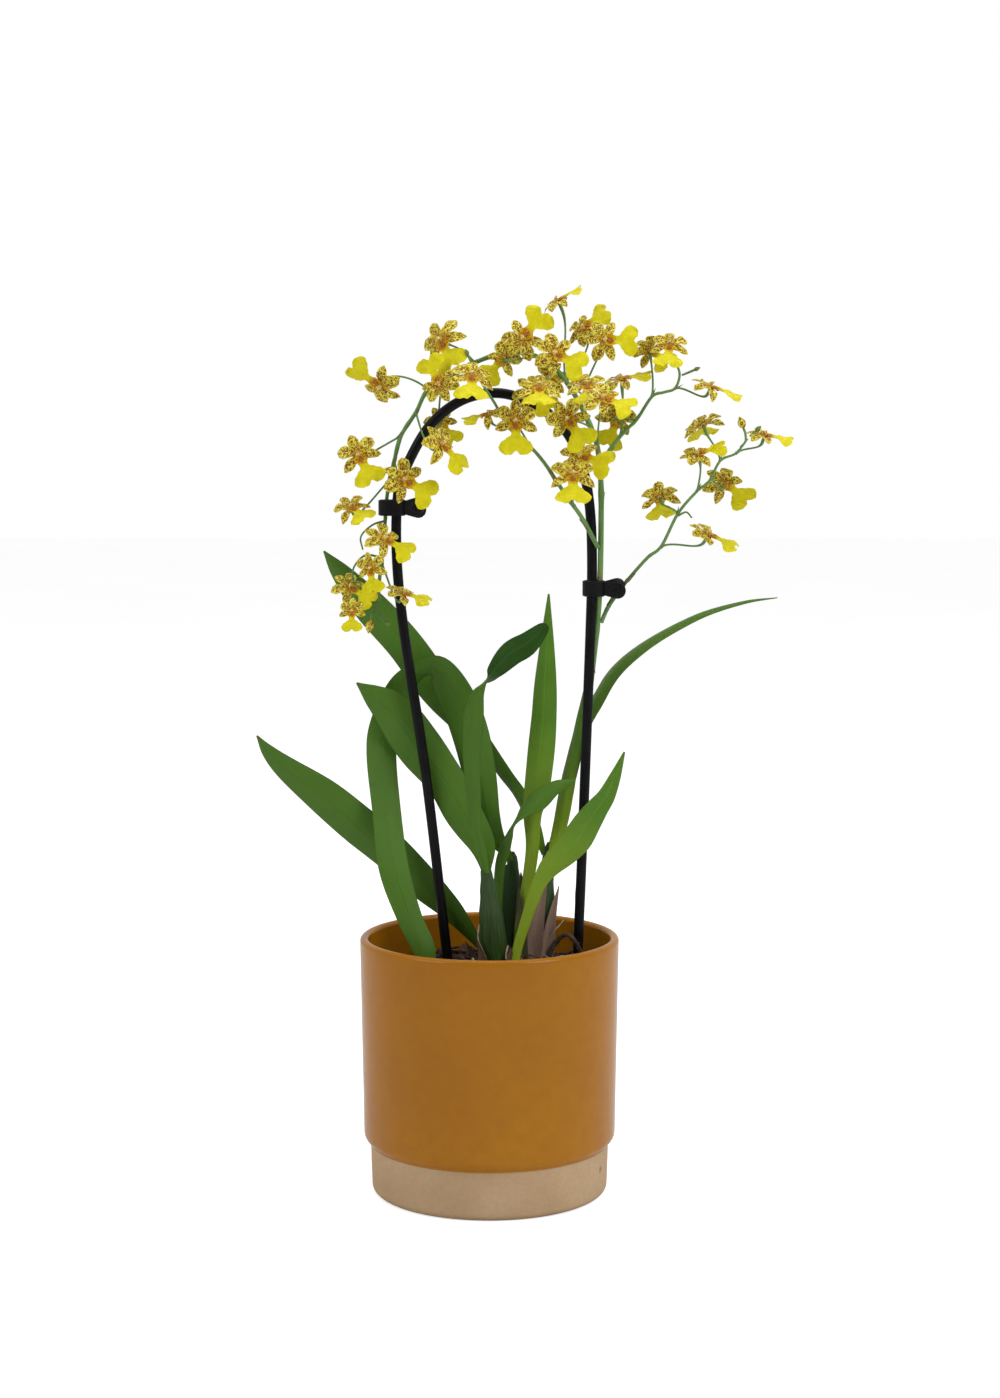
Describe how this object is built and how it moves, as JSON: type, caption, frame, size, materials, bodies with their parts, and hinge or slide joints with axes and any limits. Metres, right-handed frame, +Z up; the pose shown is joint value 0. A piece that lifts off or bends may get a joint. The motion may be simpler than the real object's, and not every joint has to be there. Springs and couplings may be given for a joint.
{
  "type": "potted orchid",
  "caption": "Potted dancing-lady orchid with strap leaves and a spray of small barred yellow flowers, trained over a black hoop in a straight glazed pot with a bare clay foot.",
  "frame": {"origin": "centre of the pot's flat underside", "axes": "+Z up along the pot's axis; +X to the viewer's right across the hoop's plane; -Y towards the side the flowers mostly face"},
  "size_m": [0.2878, 0.14, 0.4887],
  "materials": {
    "glaze": "gloss glaze over a bare, unglazed clay foot",
    "bark": "loose damp bark chips and root crumbs",
    "hoop_wire": "satin black plastic coating",
    "clip": "moulded satin plastic",
    "root": "dry and matte",
    "bulb": "ribbed, waxy green",
    "leaf": "satin, finely lined leaf",
    "stem": "smooth satin green",
    "petal": "soft matte petal, yellow with brown bars"
  },
  "bodies": {
    "root": {"ceramic_pot": "glaze", "bark_mix": "bark", "support_hoop": "hoop_wire", "clip_left": "clip", "clip_right": "clip", "looped_root": "root", "bulb_front": "bulb", "bulb_back": "bulb", "bulb_right": "bulb", "leaf_far_left": "leaf", "leaf_folded_over": "leaf", "leaf_long_back": "leaf", "leaf_broad_left": "leaf", "leaf_twisted": "leaf", "leaf_tall": "leaf", "leaf_small": "leaf", "leaf_broad_right": "leaf", "leaf_long_right": "leaf", "leaf_narrow": "leaf", "flower_spike": "stem", "branch_upper": "stem", "branch_lower": "stem", "branch_left": "stem", "flower_01": "petal", "flower_02": "petal", "flower_03": "petal", "flower_04": "petal", "flower_05": "petal", "flower_06": "petal", "flower_07": "petal", "flower_08": "petal", "flower_09": "petal", "flower_10": "petal", "flower_11": "petal", "flower_12": "petal", "flower_13": "petal", "flower_14": "petal", "flower_15": "petal", "flower_16": "petal", "flower_17": "petal", "flower_18": "petal", "flower_19": "petal", "flower_20": "petal", "flower_21": "petal", "flower_22": "petal", "flower_23": "petal", "flower_24": "petal", "flower_25": "petal", "flower_26": "petal", "flower_27": "petal", "flower_28": "petal", "flower_29": "petal", "flower_30": "petal", "flower_31": "petal", "flower_32": "petal", "flower_33": "petal", "flower_34": "petal", "flower_35": "petal", "flower_36": "petal", "flower_37": "petal"}
  },
  "joints": []
}
